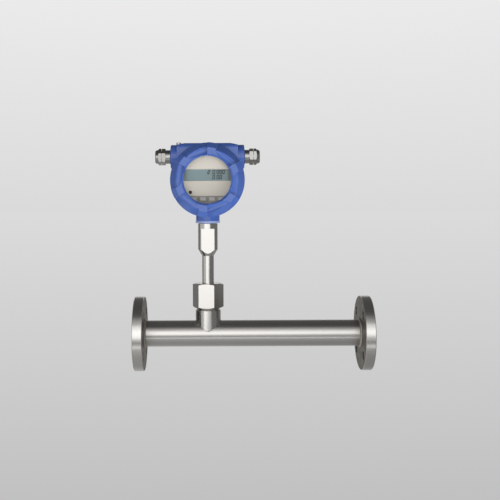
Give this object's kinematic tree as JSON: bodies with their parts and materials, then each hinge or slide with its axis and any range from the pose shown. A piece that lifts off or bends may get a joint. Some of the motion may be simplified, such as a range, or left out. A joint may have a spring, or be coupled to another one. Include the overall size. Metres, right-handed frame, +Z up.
{
  "type": "thermal mass flow meter",
  "caption": "In-line thermal mass flow meter: flanged pipe spool, removable sensor stem held by a union nut, round field housing with window, display and cable glands.",
  "frame": {"origin": "centre of the inlet flange's sealing face", "axes": "+X along the pipe with the flow, +Z up along the sensor stem, display faces -Y"},
  "size_m": [0.385, 0.12, 0.3696],
  "materials": {
    "pipe_steel": "turned stainless steel, satin",
    "flange_steel": "turned stainless steel, fine lathe marks",
    "weld_steel": "welded stainless steel",
    "turned_steel": "turned stainless steel, bright",
    "sensor_steel": "drawn stainless tube, bright",
    "white_gasket": "white sealing ring",
    "potting_resin": "black potting resin",
    "lead_sleeve": "grey lead sleeve",
    "connector_plastic": "white connector body",
    "blue_paint": "blue gloss enamel on cast aluminium",
    "screw_steel": "plated steel",
    "board_laminate": "green board with solder mask",
    "component_plastic": "black moulded parts",
    "plate_plastic": "cream face plate",
    "key_plastic": "pale key caps",
    "lcd_frame_plastic": "dark display frame",
    "lcd_face": "grey-green liquid crystal face",
    "terminal_plastic": "green terminal strip",
    "black_rubber": "black rubber",
    "window_glass": "clear toughened glass",
    "nickel_brass": "nickel-plated brass"
  },
  "bodies": {
    "spool": {"pipe": "pipe_steel", "inlet_flange": "flange_steel", "outlet_flange": "flange_steel", "inlet_welds": "weld_steel", "outlet_welds": "weld_steel", "sensor_boss": "turned_steel", "boss_weld": "weld_steel"},
    "stem": {"sensor_stem": "turned_steel", "union_gasket": "white_gasket", "sensor_guard": "turned_steel", "heated_sensor": "sensor_steel", "reference_sensor": "sensor_steel", "sensor_potting": "potting_resin", "sensor_leads": "lead_sleeve", "lead_plug": "connector_plastic"},
    "slip_ring": {"union_slip_ring": "turned_steel"},
    "union_nut": {"union_nut": "turned_steel"},
    "head": {"housing": "blue_paint", "neck_screw": "screw_steel", "lock_screws": "screw_steel", "earth_screw": "screw_steel", "earth_washer": "screw_steel", "main_standoffs": "screw_steel", "main_board": "board_laminate", "main_board_parts": "component_plastic", "display_standoffs": "screw_steel", "display_board": "board_laminate", "board_screws": "screw_steel", "face_plate": "plate_plastic", "plate_posts": "plate_plastic", "infrared_window": "component_plastic", "key_switches": "component_plastic", "terminal_block": "terminal_plastic", "terminal_screws": "screw_steel", "sensor_socket": "connector_plastic", "grommet": "black_rubber", "inner_earth_screw": "screw_steel", "lcd_frame": "lcd_frame_plastic", "lcd_glass": "lcd_face", "left_gland_body": "nickel_brass", "right_gland_body": "nickel_brass", "left_gland_seal": "black_rubber", "right_gland_seal": "black_rubber", "left_gland_gasket": "black_rubber", "right_gland_gasket": "black_rubber"},
    "front_seal": {"front_o_ring": "black_rubber"},
    "front_cover": {"front_cover": "blue_paint", "window_gasket": "black_rubber", "window_glass": "window_glass", "window_retainer": "screw_steel"},
    "back_seal": {"back_o_ring": "black_rubber"},
    "back_cover": {"back_cover": "blue_paint"},
    "left_thrust_washer": {"left_gland_washer": "nickel_brass"},
    "left_cap": {"left_gland_cap": "nickel_brass"},
    "right_thrust_washer": {"right_gland_washer": "nickel_brass"},
    "right_cap": {"right_gland_cap": "nickel_brass"},
    "key_1": {"key_1": "key_plastic"},
    "key_2": {"key_2": "key_plastic"},
    "key_3": {"key_3": "key_plastic"},
    "key_4": {"key_4": "key_plastic"}
  },
  "joints": [
    {"name": "sensor_lift", "type": "slide", "parent": "spool", "child": "stem", "axis": [0, 0, 1], "range_m": [0, 0.09]},
    {"name": "head_turn", "type": "hinge", "parent": "stem", "child": "head", "pos_m": [0.121, 0, 0.248], "axis": [0, 0, 1], "range_deg": [-170, 170]},
    {"name": "union_nut_travel", "type": "slide", "parent": "stem", "child": "slip_ring", "axis": [0, 0, 1], "range_m": [0, 0.02]},
    {"name": "union_nut_turn", "type": "hinge", "parent": "slip_ring", "child": "union_nut", "pos_m": [0.121, 0, 0.07], "axis": [0, 0, 1], "range_deg": [0, 3600]},
    {"name": "front_cover_travel", "type": "slide", "parent": "head", "child": "front_seal", "axis": [0, -1, 0], "range_m": [0, 0.01]},
    {"name": "front_cover_turn", "type": "hinge", "parent": "front_seal", "child": "front_cover", "pos_m": [0.121, -0.03, 0.248], "axis": [0, -1, 0], "range_deg": [0, 1800]},
    {"name": "back_cover_travel", "type": "slide", "parent": "head", "child": "back_seal", "axis": [0, 1, 0], "range_m": [0, 0.01]},
    {"name": "back_cover_turn", "type": "hinge", "parent": "back_seal", "child": "back_cover", "pos_m": [0.121, 0.034, 0.248], "axis": [0, 1, 0], "range_deg": [0, 1800]},
    {"name": "left_cap_travel", "type": "slide", "parent": "head", "child": "left_thrust_washer", "axis": [-1, 0, 0], "range_m": [0, 0.0045]},
    {"name": "left_cap_turn", "type": "hinge", "parent": "left_thrust_washer", "child": "left_cap", "pos_m": [0.0615, 0, 0.2865], "axis": [-1, 0, 0], "range_deg": [0, 1080]},
    {"name": "right_cap_travel", "type": "slide", "parent": "head", "child": "right_thrust_washer", "axis": [1, 0, 0], "range_m": [0, 0.0045]},
    {"name": "right_cap_turn", "type": "hinge", "parent": "right_thrust_washer", "child": "right_cap", "pos_m": [0.1805, 0, 0.2865], "axis": [1, 0, 0], "range_deg": [0, 1080]},
    {"name": "key_1_press", "type": "slide", "parent": "head", "child": "key_1", "axis": [0, 1, 0], "range_m": [0, 0.0005], "stiffness_N_per_m": 2000},
    {"name": "key_2_press", "type": "slide", "parent": "head", "child": "key_2", "axis": [0, 1, 0], "range_m": [0, 0.0005], "stiffness_N_per_m": 2000},
    {"name": "key_3_press", "type": "slide", "parent": "head", "child": "key_3", "axis": [0, 1, 0], "range_m": [0, 0.0005], "stiffness_N_per_m": 2000},
    {"name": "key_4_press", "type": "slide", "parent": "head", "child": "key_4", "axis": [0, 1, 0], "range_m": [0, 0.0005], "stiffness_N_per_m": 2000}
  ],
  "couplings": [
    {"joint": "union_nut_travel", "follows": "union_nut_turn", "m_per_rad": 0.00031831},
    {"joint": "front_cover_travel", "follows": "front_cover_turn", "m_per_rad": 0.00031831},
    {"joint": "back_cover_travel", "follows": "back_cover_turn", "m_per_rad": 0.00031831},
    {"joint": "left_cap_travel", "follows": "left_cap_turn", "m_per_rad": 0.00023873},
    {"joint": "right_cap_travel", "follows": "right_cap_turn", "m_per_rad": 0.00023873}
  ]
}
